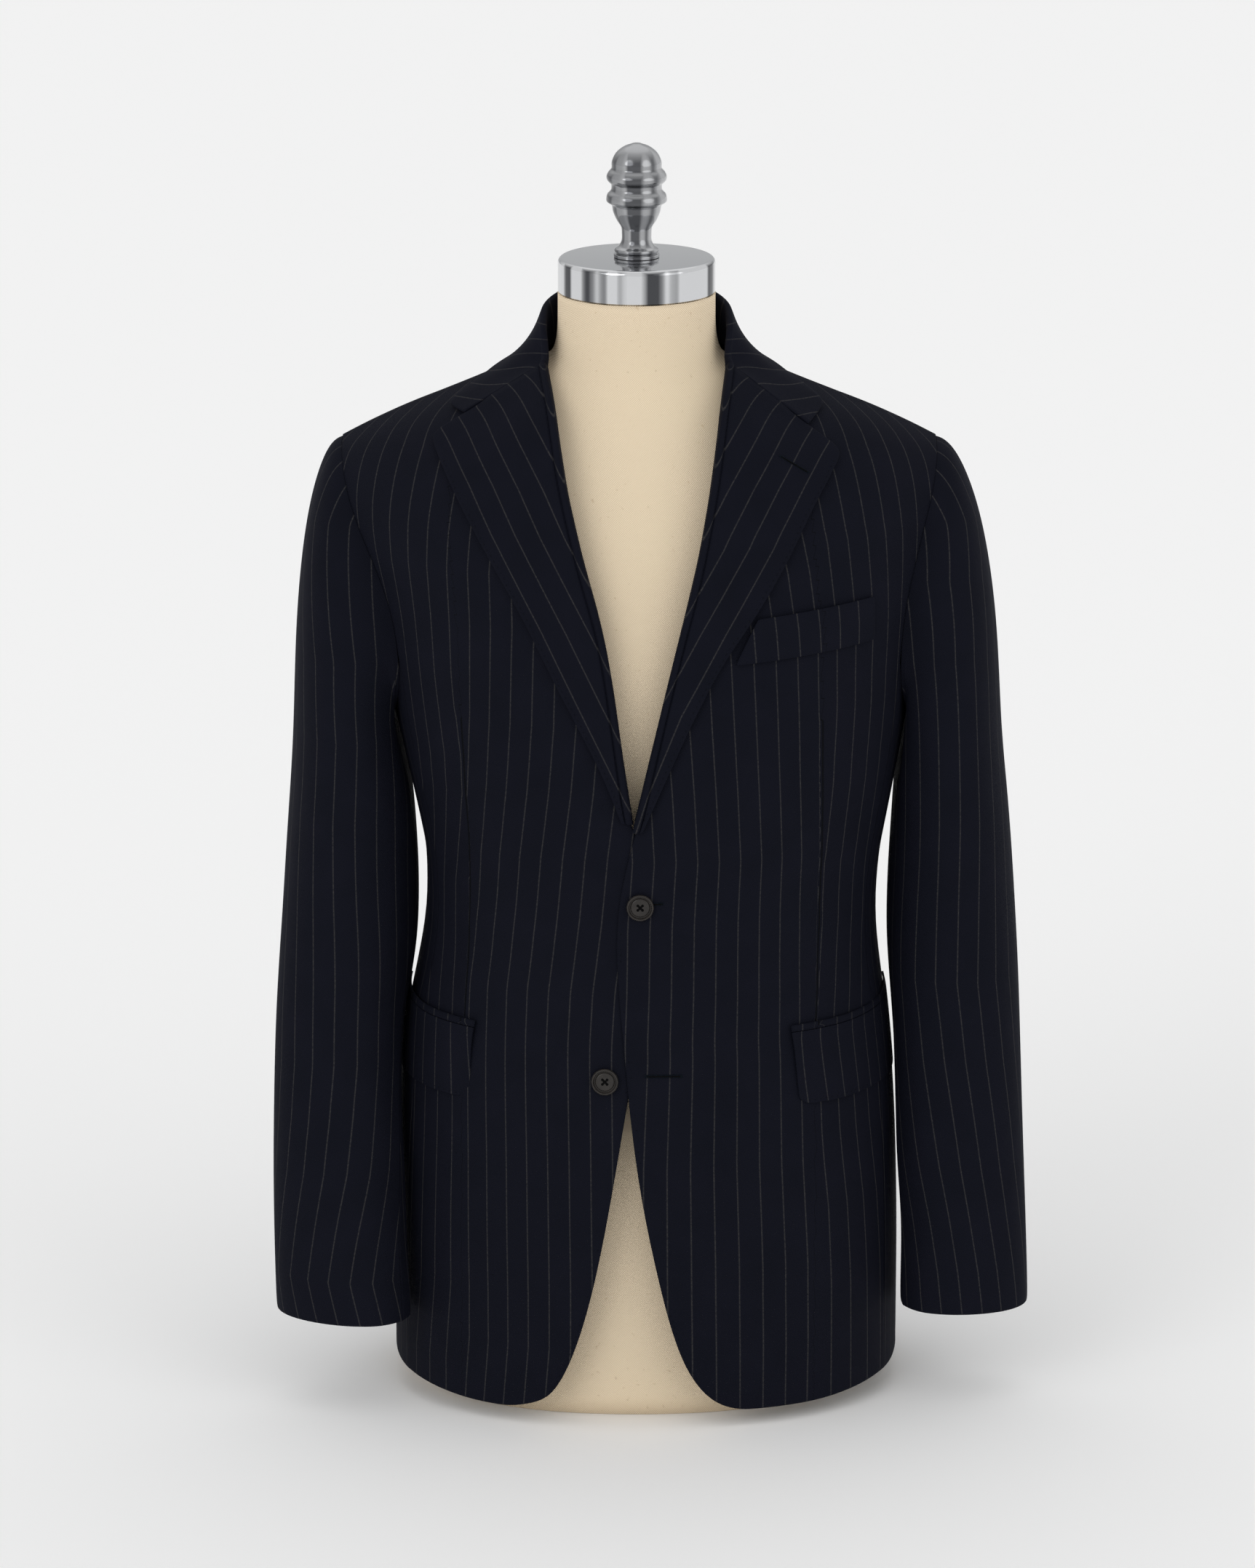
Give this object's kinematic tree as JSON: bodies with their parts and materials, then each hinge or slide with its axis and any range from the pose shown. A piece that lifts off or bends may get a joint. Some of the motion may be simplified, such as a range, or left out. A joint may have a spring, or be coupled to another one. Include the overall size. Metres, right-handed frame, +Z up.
{
  "type": "chalk stripe suit jacket on a limbless dress form",
  "caption": "Single-breasted chalk stripe suit jacket with notched lapels and flap pockets, standing on a smooth limbless dress form with a metal neck cap.",
  "frame": {"origin": "on the floor, under the middle of the whole part's box", "axes": "+Z up; the front of the jacket faces -Y; +X is the wearer's left"},
  "size_m": [0.5624, 0.2868, 0.9314],
  "materials": {
    "suiting": "navy worsted with a chalk stripe",
    "horn": "dark horn",
    "linen": "natural linen",
    "chrome": "polished metal"
  },
  "bodies": {
    "root": {"front_left": "suiting", "front_right": "suiting", "side_left": "suiting", "side_right": "suiting", "back_left": "suiting", "back_right": "suiting", "sleeve_top_left": "suiting", "sleeve_top_right": "suiting", "sleeve_under_left": "suiting", "sleeve_under_right": "suiting", "lapel_left": "suiting", "lapel_right": "suiting", "collar": "suiting", "breast_welt": "suiting", "flap_left": "suiting", "flap_right": "suiting", "jet_left": "suiting", "jet_right": "suiting", "button_top": "horn", "button_lower": "horn", "form_torso": "linen", "neck_cap": "chrome", "finial": "chrome"}
  },
  "joints": []
}
